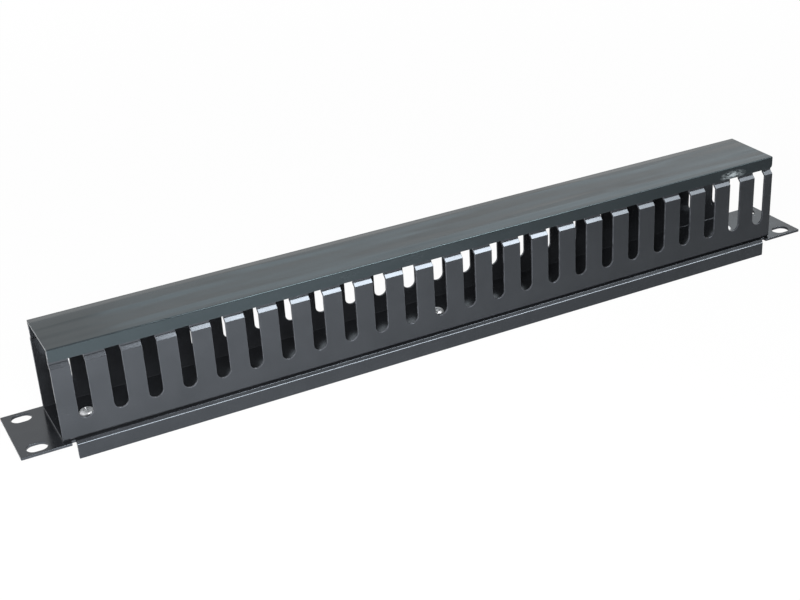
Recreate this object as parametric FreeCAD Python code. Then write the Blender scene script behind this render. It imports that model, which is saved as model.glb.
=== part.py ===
import FreeCAD, Part
import math
import os

# Horizontal cable manager for a 19-inch rack, one rack unit high.
# A slotted duct of folded sheet steel is screwed to a folded rack panel, and a folded
# cover pushes down over the duct's fingers. It lies on its back, on the panel's flanges.
#
# Frame, in millimetres: X runs along the rack panel, Y across it, and Z is the way the
# duct stands out towards the user. The origin is the centre of the four rack slots, on
# the rear face of the panel's ears, which is the face that meets the rack's rails.

# ---- rack panel -------------------------------------------------------------------
PANEL_WIDTH = 482.6        # 19 inches over the ears
PANEL_HEIGHT = 44.1        # one rack unit, less the gap to the next panel
PANEL_SHEET = 1.5          # steel thickness
PANEL_BEND = 0.3           # inside radius of the flange folds
FLANGE_DEPTH = 10.0        # from the panel's front face to the flange's free edge
FLANGE_STEP = 6.05         # each flange stops this far short of the duct's end
RELIEF_WIDTH = 2.2         # notch between a flange and an ear
RELIEF_PAST_BEND = 0.6     # how far the notch reaches past the start of the fold

# ---- rack slots in the ears -------------------------------------------------------
EAR_LENGTH = 21.8          # ear that stays free beyond the duct's end
EAR_SLOT_INSET_X = 9.55    # ear's end to the slot's centre, so the slots are 463.5 apart
EAR_SLOT_INSET_Y = 6.175   # panel's long edge to the slot's centre, so 31.75 apart
EAR_SLOT_WIDTH = 8.0
EAR_SLOT_LENGTH = 10.6     # end to end, along the panel

# ---- duct -------------------------------------------------------------------------
DUCT_STEP = 2.4            # duct wall, back from the panel's long edge
DUCT_HEIGHT = 50.2         # underside of the floor to the tips of the fingers
DUCT_SHEET = 1.2
DUCT_BEND = 0.4            # inside radius of the two long folds

# Each finger steps inwards near its tip, so that the cover's lip lies nearly flush.
JOG_INSET = 2.05
JOG_ANGLE = 45.0           # slope of the step, in degrees from upright
JOG_BEND = 0.0             # inside radius of the step's two bends, which are pressed sharp
TIP_HEIGHT = 7.15          # straight tip above the step

# ---- cable slots, open at the top, in line across both walls --------------------------
SLOT_WIDTH = 7.5
FINGER_WIDTH = 10.58
SLOT_FOOT = 10.4           # underside of the floor to the bottom of a slot in the front wall
REAR_SLOT_FOOT = 11.2      # the same in the rear wall
FIRST_FINGER = 9.9         # end of the duct to the first slot
LAST_FINGER_MIN = 4.5      # least metal that is left beyond the last slot
SLOT_OVERRUN = 2.0         # how far the punch passes beyond the sheet

# ---- cover ------------------------------------------------------------------------
COVER_SHEET = 1.2
COVER_BEND = 0.4           # inside radius of the two long folds
COVER_END_STEP = 0.05      # cover's end, back from the duct's end
COVER_SIDE_GAP = 0.2       # between a lip and the fingers' tips
COVER_TOP_GAP = 0.2        # between the cover and the fingers' tips
LIP_GAP = 1.45             # between the lip's edge and the top of the step
LIP_CORNER = 2.0           # rounded corner at each end of a lip

# ---- screws and nuts that hold the duct to the panel ----------------------------------
SCREW_END_INSET = 18.0     # duct's end to the outer screws; the third is at the middle
THREAD_DIAMETER = 4.0
THREAD_GAP = 0.05          # between the plain shank and the nut, all round
HOLE_GAP = 0.25            # between the thread and the sheets, all round
SCREW_HEAD_DIAMETER = 8.0
SCREW_HEAD_HEIGHT = 2.6
SCREW_HEAD_CHAMFER = 1.2   # sloped upper edge of the head
SCREW_PAST_NUT = 1.1
RECESS_SPAN = 4.4          # cross recess, tip to tip
RECESS_WIDTH = 1.0
RECESS_DEPTH = 1.3
NUT_ACROSS_FLATS = 7.0
NUT_HEIGHT = 3.2
NUT_CHAMFER = 0.4          # height of the chamfer on the corners of a nut's free face

SAME_PLACE = 0.01          # two places nearer than this are one and the same

# ---- worked out from the sizes above -------------------------------------------------
panel_half_width = PANEL_WIDTH / 2
panel_half_height = PANEL_HEIGHT / 2
duct_half_length = panel_half_width - EAR_LENGTH
duct_half_depth = panel_half_height - DUCT_STEP
flange_half_length = duct_half_length - FLANGE_STEP
slot_pitch = SLOT_WIDTH + FINGER_WIDTH

floor_z = PANEL_SHEET                       # underside of the duct's floor
tip_z = floor_z + DUCT_HEIGHT
jog_top_z = tip_z - TIP_HEIGHT
jog_rise = JOG_INSET / math.tan(math.radians(JOG_ANGLE))
jog_foot_z = jog_top_z - jog_rise
tip_half_depth = duct_half_depth - JOG_INSET

cover_half_length = duct_half_length - COVER_END_STEP
cover_half_depth = tip_half_depth + COVER_SIDE_GAP + COVER_SHEET
cover_top_z = tip_z + COVER_TOP_GAP + COVER_SHEET
lip_edge_z = jog_top_z + LIP_GAP

screw_places = {
    "left": -duct_half_length + SCREW_END_INSET,
    "middle": 0.0,
    "right": duct_half_length - SCREW_END_INSET,
}


def unit(start, end):
    """Direction from one point of a section to the next."""
    length = math.hypot(end[0] - start[0], end[1] - start[1])
    return ((end[0] - start[0]) / length, (end[1] - start[1]) / length)


def left_offset(points, distance):
    """The open outline moved sideways, to the left of its direction, with mitred corners."""
    moved = []
    last = len(points) - 1
    for index, point in enumerate(points):
        before = unit(points[max(index - 1, 0)], points[max(index, 1)])
        after = unit(points[min(index, last - 1)], points[min(index + 1, last)])
        normal = (-before[1] - after[1], before[0] + after[0])
        scale = distance / (1 + before[0] * after[0] + before[1] * after[1])
        moved.append((point[0] + normal[0] * scale, point[1] + normal[1] * scale))
    return moved


def turns_left(before, corner, after):
    """True where the outline bends to the left at this corner."""
    into = unit(before, corner)
    out = unit(corner, after)
    return into[0] * out[1] - into[1] * out[0] > 0


def bend_radii(points, inside_radii, sheet, sheet_on_left):
    """Radius at each corner of one face: larger where that face is the outside of the fold."""
    radii = []
    for before, corner, after, inside in zip(points, points[1:], points[2:], inside_radii):
        is_outside = turns_left(before, corner, after) == sheet_on_left
        radii.append(inside + sheet if is_outside else inside)
    return radii


def rounded_edges(points, radii):
    """Straight runs joined by tangent arcs, in the YZ plane. A radius of 0 leaves a sharp corner."""
    edges = []
    start = points[0]
    for before, corner, after, radius in zip(points, points[1:], points[2:], radii):
        into = unit(before, corner)
        out = unit(corner, after)
        half_turn = math.acos(into[0] * out[0] + into[1] * out[1]) / 2
        reach = radius * math.tan(half_turn)
        arc_start = (corner[0] - into[0] * reach, corner[1] - into[1] * reach)
        arc_end = (corner[0] + out[0] * reach, corner[1] + out[1] * reach)
        bulge = radius / math.cos(half_turn) - radius
        inward = (out[0] - into[0], out[1] - into[1])
        size = math.hypot(inward[0], inward[1])
        arc_mid = (corner[0] + inward[0] / size * bulge, corner[1] + inward[1] / size * bulge)
        edges.append(Part.LineSegment(in_section(start), in_section(arc_start)).toShape())
        if radius > 0:
            arc = Part.Arc(in_section(arc_start), in_section(arc_mid), in_section(arc_end))
            edges.append(arc.toShape())
        start = arc_end
    edges.append(Part.LineSegment(in_section(start), in_section(points[-1])).toShape())
    return edges


def in_section(point):
    """A (y, z) point of a cross-section, as a vector at X = 0."""
    return FreeCAD.Vector(0, point[0], point[1])


def folded_sheet(outer_face, sheet, inside_radii, half_length):
    """A folded sheet: one face's outline, thickened to its left and run along X.

    inside_radii holds the inside radius of each fold, in the order of the outline's corners.
    """
    inner_face = left_offset(outer_face, sheet)
    outer = rounded_edges(outer_face, bend_radii(outer_face, inside_radii, sheet, True))
    inner = rounded_edges(inner_face, bend_radii(inner_face, inside_radii, sheet, False))
    first_edge = Part.LineSegment(in_section(outer_face[0]), in_section(inner_face[0])).toShape()
    last_edge = Part.LineSegment(in_section(outer_face[-1]), in_section(inner_face[-1])).toShape()
    wire = Part.Wire(Part.__sortEdges__(outer + [last_edge] + inner + [first_edge]))
    section = Part.Face(wire)
    section.translate(FreeCAD.Vector(-half_length, 0, 0))
    return section.extrude(FreeCAD.Vector(2 * half_length, 0, 0))


def obround(centre, length, width, height):
    """An upright prism with round ends, long along X."""
    radius = width / 2
    straight = length / 2 - radius
    middle = Part.makeBox(2 * straight, width, height, centre + FreeCAD.Vector(-straight, -radius, 0))
    left_end = Part.makeCylinder(radius, height, centre + FreeCAD.Vector(-straight, 0, 0))
    right_end = Part.makeCylinder(radius, height, centre + FreeCAD.Vector(straight, 0, 0))
    return middle.fuse([left_end, right_end]).removeSplitter()


def ear(side):
    """Flat ear at one end, with a relief notch beside each flange and two rack slots."""
    notch_y = panel_half_height - PANEL_SHEET - PANEL_BEND - RELIEF_PAST_BEND
    root_x = flange_half_length
    notch_x = root_x + RELIEF_WIDTH
    outline = [
        (root_x, -notch_y),
        (notch_x, -notch_y),
        (notch_x, -panel_half_height),
        (panel_half_width, -panel_half_height),
        (panel_half_width, panel_half_height),
        (notch_x, panel_half_height),
        (notch_x, notch_y),
        (root_x, notch_y),
        (root_x, -notch_y),
    ]
    wire = Part.makePolygon([FreeCAD.Vector(side * x, y, 0) for x, y in outline])
    plate = Part.Face(wire).extrude(FreeCAD.Vector(0, 0, PANEL_SHEET))
    slot_x = side * (panel_half_width - EAR_SLOT_INSET_X)
    slot_y = panel_half_height - EAR_SLOT_INSET_Y
    for y in (-slot_y, slot_y):
        foot = FreeCAD.Vector(slot_x, y, -SLOT_OVERRUN)
        height = PANEL_SHEET + 2 * SLOT_OVERRUN
        plate = plate.cut(obround(foot, EAR_SLOT_LENGTH, EAR_SLOT_WIDTH, height))
    return plate


def screw_holes(z, sheet):
    """Three clearance holes through a sheet, one for each screw."""
    radius = THREAD_DIAMETER / 2 + HOLE_GAP
    return [
        Part.makeCylinder(radius, sheet + 2 * SLOT_OVERRUN, FreeCAD.Vector(x, 0, z - SLOT_OVERRUN))
        for x in screw_places.values()
    ]


def make_panel():
    """Rack panel: two long flanges folded back, and a flat slotted ear at each end."""
    flange_edge_z = PANEL_SHEET - FLANGE_DEPTH
    face = [
        (panel_half_height, flange_edge_z),
        (panel_half_height, PANEL_SHEET),
        (-panel_half_height, PANEL_SHEET),
        (-panel_half_height, flange_edge_z),
    ]
    channel = folded_sheet(face, PANEL_SHEET, [PANEL_BEND, PANEL_BEND], flange_half_length)
    panel = channel.fuse([ear(-1), ear(1)]).removeSplitter()
    return panel.cut(screw_holes(0, PANEL_SHEET))


def slot_punch(left_x, foot_height, front_y):
    """One cut through one wall: round at the foot, open at the top. It is half the duct deep."""
    radius = SLOT_WIDTH / 2
    centre_x = left_x + radius
    centre_z = floor_z + foot_height + radius
    depth = duct_half_depth + SLOT_OVERRUN
    across = FreeCAD.Vector(0, 1, 0)
    foot = Part.makeCylinder(radius, depth, FreeCAD.Vector(centre_x, front_y, centre_z), across)
    height = tip_z + SLOT_OVERRUN - centre_z
    shaft = Part.makeBox(SLOT_WIDTH, depth, height, FreeCAD.Vector(left_x, front_y, centre_z))
    return foot.fuse(shaft).removeSplitter()


def slot_punches():
    """The cuts of every cable slot, through the front wall and through the rear wall."""
    front = [slot_punch(x, SLOT_FOOT, -duct_half_depth - SLOT_OVERRUN) for x in slot_lefts()]
    rear = [slot_punch(x, REAR_SLOT_FOOT, 0) for x in slot_lefts()]
    return front + rear


def slot_lefts():
    """Left edge of every cable slot, for as many as fit along the duct."""
    room = 2 * duct_half_length - FIRST_FINGER - LAST_FINGER_MIN - SLOT_WIDTH
    count = int(room // slot_pitch) + 1
    return [-duct_half_length + FIRST_FINGER + index * slot_pitch for index in range(count)]


def make_duct():
    """Duct: floor and two walls of stepped fingers, folded from one sheet."""
    wall = [
        (duct_half_depth, floor_z),
        (duct_half_depth, jog_foot_z),
        (tip_half_depth, jog_top_z),
        (tip_half_depth, tip_z),
    ]
    face = [(-y, z) for y, z in reversed(wall)] + wall
    folds = [JOG_BEND, JOG_BEND, DUCT_BEND, DUCT_BEND, JOG_BEND, JOG_BEND]
    duct = folded_sheet(face, DUCT_SHEET, folds, duct_half_length)
    duct = duct.cut(slot_punches())
    return duct.cut(screw_holes(floor_z, DUCT_SHEET))


def make_cover():
    """Cover: a shallow channel whose lips hang over the fingers' stepped tips."""
    face = [
        (cover_half_depth, lip_edge_z),
        (cover_half_depth, cover_top_z),
        (-cover_half_depth, cover_top_z),
        (-cover_half_depth, lip_edge_z),
    ]
    cover = folded_sheet(face, COVER_SHEET, [COVER_BEND, COVER_BEND], cover_half_length)
    corners = []
    for edge in cover.Edges:
        place = edge.CenterOfMass
        at_lip_edge = abs(place.z - lip_edge_z) < SAME_PLACE
        at_end = abs(abs(place.x) - cover_half_length) < SAME_PLACE
        if at_lip_edge and at_end:
            corners.append(edge)
    return cover.makeFillet(LIP_CORNER, corners)


def make_screw(x, turn):
    """Screw with a cross recess in its head, which sits on the duct's floor."""
    seat_z = floor_z + DUCT_SHEET
    head_top_z = seat_z + SCREW_HEAD_HEIGHT
    head_radius = SCREW_HEAD_DIAMETER / 2
    shank_radius = THREAD_DIAMETER / 2 - THREAD_GAP
    head = Part.makeCylinder(head_radius, SCREW_HEAD_HEIGHT, FreeCAD.Vector(0, 0, seat_z))
    rim = [edge for edge in head.Edges if abs(edge.CenterOfMass.z - head_top_z) < SAME_PLACE]
    head = head.makeChamfer(SCREW_HEAD_CHAMFER, rim)
    end_z = -NUT_HEIGHT - SCREW_PAST_NUT
    shank = Part.makeCylinder(shank_radius, seat_z - end_z, FreeCAD.Vector(0, 0, end_z))
    screw = head.fuse(shank).removeSplitter()
    for angle in (turn, turn + 90):
        foot = FreeCAD.Vector(-RECESS_SPAN / 2, -RECESS_WIDTH / 2, head_top_z - RECESS_DEPTH)
        arm = Part.makeBox(RECESS_SPAN, RECESS_WIDTH, 2 * RECESS_DEPTH, foot)
        arm.rotate(FreeCAD.Vector(0, 0, 0), FreeCAD.Vector(0, 0, 1), angle)
        screw = screw.cut(arm)
    screw.translate(FreeCAD.Vector(x, 0, 0))
    return screw


def make_nut(x):
    """Hexagon nut, tight against the panel's rear face, with a chamfer on its free face."""
    corner_radius = NUT_ACROSS_FLATS / 2 / math.cos(math.radians(30))
    ring = [
        FreeCAD.Vector(corner_radius * math.cos(angle), corner_radius * math.sin(angle), -NUT_HEIGHT)
        for angle in [math.radians(60 * index) for index in range(7)]
    ]
    nut = Part.Face(Part.makePolygon(ring)).extrude(FreeCAD.Vector(0, 0, NUT_HEIGHT))
    flat_radius = NUT_ACROSS_FLATS / 2
    outline = [
        (0, 0),
        (corner_radius, 0),
        (corner_radius, -NUT_HEIGHT + NUT_CHAMFER),
        (flat_radius, -NUT_HEIGHT),
        (0, -NUT_HEIGHT),
        (0, 0),
    ]
    barrel = Part.Face(Part.makePolygon([FreeCAD.Vector(r, 0, z) for r, z in outline]))
    barrel = barrel.revolve(FreeCAD.Vector(0, 0, 0), FreeCAD.Vector(0, 0, 1), 360)
    bore_foot = FreeCAD.Vector(0, 0, -NUT_HEIGHT - SLOT_OVERRUN)
    bore = Part.makeCylinder(THREAD_DIAMETER / 2, NUT_HEIGHT + 2 * SLOT_OVERRUN, bore_foot)
    nut = nut.common(barrel).cut(bore)
    nut.translate(FreeCAD.Vector(x, 0, 0))
    return nut


def save(name, shape):
    """Write one piece as a single solid."""
    solid = shape.Solids[0] if len(shape.Solids) == 1 else shape
    solid.exportStep(os.path.join("parts", name + ".step"))
    print(name, "solids", len(shape.Solids), "valid", shape.isValid(), "mm3", round(shape.Volume, 1))


# Each screw has stopped at its own turn, in degrees.
screw_turns = {"left": 12, "middle": 38, "right": 71}

os.makedirs("parts", exist_ok=True)
save("rack_panel", make_panel())
save("slotted_duct", make_duct())
save("duct_cover", make_cover())
for side, x in screw_places.items():
    save("duct_screw_" + side, make_screw(x, screw_turns[side]))
    save("duct_nut_" + side, make_nut(x))
print("slots in each wall", len(slot_lefts()))
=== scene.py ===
"""The looks of a horizontal cable manager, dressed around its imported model.

Each sheet-metal piece is made the way a press shop makes it: a flat blank is outlined, then
folded along its section, given its thickness, and its cut edges are rounded by the powder coat.
"""

import math
import bmesh
import bpy
import numpy as np
from mathutils import Euler, Matrix, Vector
from mathutils.geometry import delaunay_2d_cdt


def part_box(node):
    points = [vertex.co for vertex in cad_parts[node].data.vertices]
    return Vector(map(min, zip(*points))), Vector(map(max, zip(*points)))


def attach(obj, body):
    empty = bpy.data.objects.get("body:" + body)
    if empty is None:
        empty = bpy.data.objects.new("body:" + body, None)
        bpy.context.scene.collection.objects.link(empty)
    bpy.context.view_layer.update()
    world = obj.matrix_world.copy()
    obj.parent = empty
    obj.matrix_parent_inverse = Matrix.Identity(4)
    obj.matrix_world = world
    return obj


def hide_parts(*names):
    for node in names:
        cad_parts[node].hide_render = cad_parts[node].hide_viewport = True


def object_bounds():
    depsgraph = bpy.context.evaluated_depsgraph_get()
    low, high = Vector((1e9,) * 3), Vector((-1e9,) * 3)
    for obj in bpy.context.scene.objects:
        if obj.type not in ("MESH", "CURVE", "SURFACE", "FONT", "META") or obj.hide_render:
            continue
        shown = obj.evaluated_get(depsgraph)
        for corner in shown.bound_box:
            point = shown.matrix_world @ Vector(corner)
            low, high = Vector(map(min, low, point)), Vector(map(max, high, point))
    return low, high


bl_info = {
    "name": "Horizontal Cable Manager",
    "version": (1, 0, 0),
    "blender": (4, 5, 0),
    "location": "View3D > Sidebar > Cable Manager",
    "description": "Builds a powder-coated cable manager around its packed frame",
    "category": "Object",
}

MM = 0.001
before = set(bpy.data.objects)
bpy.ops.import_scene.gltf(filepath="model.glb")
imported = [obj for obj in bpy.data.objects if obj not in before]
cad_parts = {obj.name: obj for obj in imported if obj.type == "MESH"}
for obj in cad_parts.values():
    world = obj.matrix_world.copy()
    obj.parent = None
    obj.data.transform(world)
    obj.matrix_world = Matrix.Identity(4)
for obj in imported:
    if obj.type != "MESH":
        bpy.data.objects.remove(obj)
cad_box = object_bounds()
panel_low, panel_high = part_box("rack_panel")
duct_low, duct_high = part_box("slotted_duct")
cover_low, cover_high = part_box("duct_cover")
screw_low, screw_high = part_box("duct_screw_middle")
nut_low, nut_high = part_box("duct_nut_middle")


# ---- colours ------------------------------------------------------------------------------

def linear(hex_colour):
    """An sRGB hex colour as linear red, green, blue and alpha."""
    channels = [int(hex_colour[i:i + 2], 16) / 255 for i in (1, 3, 5)]
    low, slope, gamma = 0.04045, 12.92, 2.4
    values = [c / slope if c <= low else ((c + 0.055) / 1.055) ** gamma for c in channels]
    return (*values, 1.0)


# ---- settings -----------------------------------------------------------------------------

def size(name, millimetres, description):
    """A length that a user may change, shown in the scene's units."""
    return bpy.props.FloatProperty(
        name=name, description=description, default=millimetres * MM,
        subtype="DISTANCE", unit="LENGTH", precision=5)


def colour(name, hex_colour, description):
    """A colour that a user may change."""
    return bpy.props.FloatVectorProperty(
        name=name, description=description, default=linear(hex_colour),
        size=4, subtype="COLOR", min=0.0, max=1.0)


def lamp_power(name, watts, description):
    """A lamp's power that a user may change."""
    return bpy.props.FloatProperty(
        name=name, description=description, default=watts, unit="POWER")


class SheetSizes(bpy.types.PropertyGroup):
    """Sizes of the three folded sheets that their boxes don't give."""
    panel_slope: size("Panel slope", 0.95, "How far a flange's fold slopes outwards before its bend")
    panel_drop: size("Panel drop", 1.9, "How far that slope falls")
    panel_outer: size("Panel outer bend", 2.0, "Radius outside the bend under the slope")
    panel_inner: size("Panel inner bend", 0.1, "Radius inside the panel's pressed folds")
    panel_crisp: size("Panel crisp bend", 0.3, "Radius outside the bend above the slope")
    relief_width: size("Relief width", 2.2, "Notch between a flange and an ear")
    relief_reach: size("Relief reach", 0.9, "How far the notch runs past the fold")
    flange_step: size("Flange step", 6.05, "A flange's end, back from the duct's end")
    ear_slot_inset_x: size("Ear slot inset X", 9.55, "Ear's end to the rack slot's centre")
    ear_slot_inset_y: size("Ear slot inset Y", 6.175, "Panel's edge to the rack slot's centre")
    ear_slot_width: size("Ear slot width", 8.0, "Height of a rack slot")
    ear_slot_length: size("Ear slot length", 10.6, "Length of a rack slot, end to end")
    duct_sheet: size("Duct sheet", 1.2, "Thickness of the duct's steel")
    duct_bend: size("Duct bend", 0.4, "Inside radius of the duct's two long folds")
    tip_height: size("Tip height", 7.15, "Straight tip of a finger, above its step")
    jog_inset: size("Step inset", 2.05, "How far a finger's tip steps inwards")
    jog_outer: size("Step outer bend", 0.4, "Radius outside the step's two pressed bends")
    jog_inner: size("Step inner bend", 0.1, "Radius inside the step's two pressed bends")
    slot_width: size("Slot width", 7.5, "Cable slot, edge to edge")
    finger_width: size("Finger width", 10.58, "Metal between two cable slots")
    slot_foot: size("Slot foot", 10.4, "Duct's underside to the bottom of a slot in the front wall")
    rear_slot_foot: size("Rear slot foot", 11.2, "The same in the rear wall")
    first_finger: size("First finger", 9.9, "Duct's end to the first slot")
    hole_width: size("Screw hole", 4.5, "Hole in the sheets for a screw")
    cover_sheet: size("Cover sheet", 1.2, "Thickness of the cover's steel")
    cover_outer: size("Cover outer bend", 0.7, "Radius outside the cover's pressed folds")
    cover_inner: size("Cover inner bend", 0.3, "Radius inside the cover's pressed folds")
    lip_corner: size("Lip corner", 2.0, "Rounded corner at each end of a lip")
    edge_round: size("Edge rounding", 0.22, "Radius of the coat on a cut edge")
    corner_round: size("Corner rounding", 0.45, "Radius of a cut corner")
    slot_count: bpy.props.IntProperty(
        name="Slots", description="Cable slots in each wall", default=24, min=2)


class FastenerSizes(bpy.types.PropertyGroup):
    """Sizes of the screws and nuts."""
    head_width: size("Head width", 8.0, "Diameter of a screw's head")
    head_edge: size("Head edge", 0.9, "Upright rim of the head, under its dome")
    recess_span: size("Recess span", 4.6, "Cross recess, tip to tip")
    recess_width: size("Recess width", 1.0, "Width of a recess arm")
    recess_depth: size("Recess depth", 1.5, "Depth of the recess")
    thread_width: size("Thread width", 3.9, "Diameter over the thread's crests")
    thread_depth: size("Thread depth", 0.38, "Crest to root")
    thread_pitch: size("Thread pitch", 0.7, "One turn of the thread")
    nut_flats: size("Nut flats", 7.0, "Nut, across its flats")
    nut_chamfer: size("Nut chamfer", 0.4, "Height of the chamfer on the free face")
    inset: size("Screw inset", 18.0, "Duct's end to an outer screw")


class Finishes(bpy.types.PropertyGroup):
    """Colours of the finishes."""
    panel_coat: colour("Panel coat", "#141517", "Powder coat of the rack panel")
    duct_coat: colour("Duct coat", "#18191b", "Powder coat of the slotted duct")
    cover_coat: colour("Cover coat", "#121416", "Powder coat of the cover")
    # A pale matt patch of wavy strokes on the cover's front lip, near its right end.
    pale_patch: colour("Scuff", "#a9b2b6", "Rubbed mark on the coat")
    zinc: colour("Zinc", "#eef0f2", "Bright zinc plate")
    backdrop: colour("Backdrop", "#ffffff", "Studio floor and background")


class StageSettings(bpy.types.PropertyGroup):
    """Camera and lamps."""
    camera_place: bpy.props.FloatVectorProperty(
        name="Camera place", description="Where the camera stands",
        default=(-0.32669, -0.63466, 0.37150), subtype="TRANSLATION", unit="LENGTH")
    camera_turn: bpy.props.FloatVectorProperty(
        name="Camera turn", description="How the camera is turned",
        default=[math.radians(a) for a in (63.22726, 3.11361, -27.19042)],
        subtype="EULER", unit="ROTATION")
    lens: bpy.props.FloatProperty(
        name="Lens", description="Focal length on a 36 mm sensor, in millimetres",
        default=64.397, unit="CAMERA")
    key_power: lamp_power("Key power", 18.0, "Soft box above the duct")
    side_power: lamp_power("Side power", 4.0, "Soft box beyond the key")
    front_power: lamp_power("Front power", 33.0, "Long low soft box in front")
    back_power: lamp_power("Back power", 1.2, "Soft box behind the duct")
    fill_power: lamp_power("Fill power", 9.0, "Soft box at the left end")
    ambient: bpy.props.FloatProperty(
        name="Ambient", description="Strength of the room's light", default=0.12)


# ---- folded sheets ------------------------------------------------------------------------

BEND_STEP = math.radians(7.5)   # widest turn between two rows of a bend
RIM_STEPS = 3                   # facets over the rounding of a cut edge
ARC_STEPS = 12                  # facets over a quarter turn of a slot's end
SAME = 1e-7                     # two places nearer than this are one
WELD = 0.002 * MM               # neighbouring units' seams are closer than this


class FoldPath:
    """Outer face of a folded sheet, in the YZ plane, walked by length.

    The sheet lies to the left of the path. Each fold is (outer radius, inner radius): those of
    the path's own face and of the sheet's other face. Beyond flat_beyond along X the sheet
    isn't folded.
    """

    def __init__(self, corners, folds, sheet, flat_beyond=math.inf):
        self.sheet = sheet
        self.flat_beyond = flat_beyond
        self.pieces = []
        corners = [Vector(corner) for corner in corners]
        place = corners[0]
        for index in range(1, len(corners)):
            corner = corners[index]
            ahead = (corner - corners[index - 1]).normalized()
            heading = math.atan2(ahead.y, ahead.x)
            if index == len(corners) - 1:
                self.add((corner - place).length, heading, start=place)
                break
            onward = (corners[index + 1] - corner).normalized()
            turn = -ahead.angle_signed(onward)
            near, far = folds[index - 1]
            reach = near * abs(math.tan(turn / 2))
            self.add((corner - ahead * reach - place).length, heading, start=place)
            self.add(near * abs(turn), heading, turn=turn, corner=corner, radii=(near, far))
            place = corner + onward * reach
        self.length = self.pieces[-1]["from"] + self.pieces[-1]["length"]
        self.bends = [piece for piece in self.pieces if "turn" in piece]
        self.level = next(piece for piece in self.pieces
                          if piece["from"] <= self.length / 2 <= piece["from"] + piece["length"])

    def add(self, length, heading, **facts):
        """One more straight stretch or bend, after the last one."""
        start = self.pieces[-1]["from"] + self.pieces[-1]["length"] if self.pieces else 0.0
        self.pieces.append({"from": start, "length": length, "heading": heading, **facts})

    def at(self, x, along, depth):
        """(y, z) at that length along the path and that depth in the sheet, and its heading."""
        found = self.pieces[0]
        for piece in self.pieces:
            if along >= piece["from"] - SAME:
                found = piece
        if abs(x) > self.flat_beyond:
            found = self.level
        heading, step = found["heading"], along - found["from"]
        if "turn" not in found:
            ahead = Vector((math.cos(heading), math.sin(heading)))
            return found["start"] + ahead * step + left_of(heading) * depth, heading
        turn, (near, far) = found["turn"], found["radii"]
        before, after = left_of(heading), left_of(heading + turn)
        mitre = (before + after) / (1 + before.dot(after))
        radius = near + (far - near) * depth / self.sheet
        side = math.copysign(radius, turn)
        turned = heading + turn * step / found["length"]
        return found["corner"] + mitre * (depth + side) - left_of(turned) * side, turned

    def rows(self, low=0.0, high=None):
        """Lengths along the path where the blank is creased to take the bends."""
        high = self.length if high is None else high
        found = []
        for bend in self.bends:
            steps = max(2, math.ceil(abs(bend["turn"]) / BEND_STEP))
            found += [bend["from"] + bend["length"] * step / steps for step in range(steps + 1)]
        return [row for row in found if low + SAME < row < high - SAME]


def left_of(heading):
    """Unit vector to the left of a heading."""
    return Vector((-math.sin(heading), math.cos(heading)))


def rounded(corners):
    """A closed outline with arcs at its corners; each corner is (x, s, radius)."""
    outline = []
    for index, (x, s, radius) in enumerate(corners):
        corner = Vector((x, s))
        before = Vector(corners[index - 1][:2])
        after = Vector(corners[(index + 1) % len(corners)][:2])
        if not radius:
            outline.append(tuple(corner))
            continue
        into = (corner - before).normalized()
        out = (after - corner).normalized()
        turn = math.atan2(into.x * out.y - into.y * out.x, into.dot(out))
        reach = radius * abs(math.tan(turn / 2))
        start = corner - into * reach
        side = Vector((-into.y, into.x)) * math.copysign(radius, turn)
        steps = max(3, math.ceil(ARC_STEPS * abs(turn) / (math.pi / 2) * min(1, radius / MM)))
        for step in range(steps + 1):
            spoke = -side
            spoke.rotate(Matrix.Rotation(turn * step / steps, 2))
            outline.append(tuple(start + side + spoke))
    return outline


def obround(x, s, length, width):
    """A closed outline with round ends, long along X."""
    radius = width / 2
    straight = length / 2 - radius
    outline = []
    for centre, first in ((x + straight, -90), (x - straight, 90)):
        for step in range(2 * ARC_STEPS + (1 if straight else 0)):
            angle = math.radians(first + 90 * step / ARC_STEPS)
            outline.append((centre + radius * math.cos(angle), s + radius * math.sin(angle)))
    return outline


def inside(point, loops):
    """True where the point is in the metal: inside an outline and outside its holes."""
    x, s = point
    crossings = 0
    for loop in loops:
        for (ax, a_s), (bx, b_s) in zip(loop, loop[1:] + loop[:1]):
            if (a_s > s) != (b_s > s) and x < ax + (s - a_s) / (b_s - a_s) * (bx - ax):
                crossings += 1
    return crossings % 2 == 1


def cut_blank(loops, creases):
    """Triangles of the flat blank, with an edge along each crease."""
    points, edges = [], []
    for loop in loops:
        first = len(points)
        points += [Vector(point) / MM for point in loop]
        edges += [(first + i, first + (i + 1) % len(loop)) for i in range(len(loop))]
    for start, end in creases:
        edges.append((len(points), len(points) + 1))
        points += [Vector(start) / MM, Vector(end) / MM]
    found, _, faces, *_ = delaunay_2d_cdt(points, edges, [], 0, SAME / MM)
    found = [point * MM for point in found]
    kept = []
    for face in faces:
        middle = sum((found[i] for i in face), Vector((0, 0))) / len(face)
        if inside(middle, loops):
            kept.append(list(face))
    return found, kept


def rim_normals(points, faces, is_seam):
    """Boundary edges of the blank that are cut edges, and the outward mitre at their ends."""
    edges = dict.fromkeys((a, b) for face in faces for a, b in zip(face, face[1:] + face[:1]))
    cuts = [(a, b) for a, b in edges
            if (b, a) not in edges and not is_seam(points[a], points[b])]
    spread = {}
    for a, b in cuts:
        ahead = (points[b] - points[a]).normalized()
        outward = Vector((ahead.y, -ahead.x))
        for end in (a, b):
            spread.setdefault(end, []).append(outward)
    mitres = {}
    for end, normals in spread.items():
        if len(normals) == 1:   # the blank goes on beyond the seam as its mirror image
            normals = [normals[0], Vector((-normals[0].x, normals[0].y))]
        total = normals[0] + normals[1]
        mitres[end] = total * (2 / total.length_squared)
    return cuts, mitres


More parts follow.
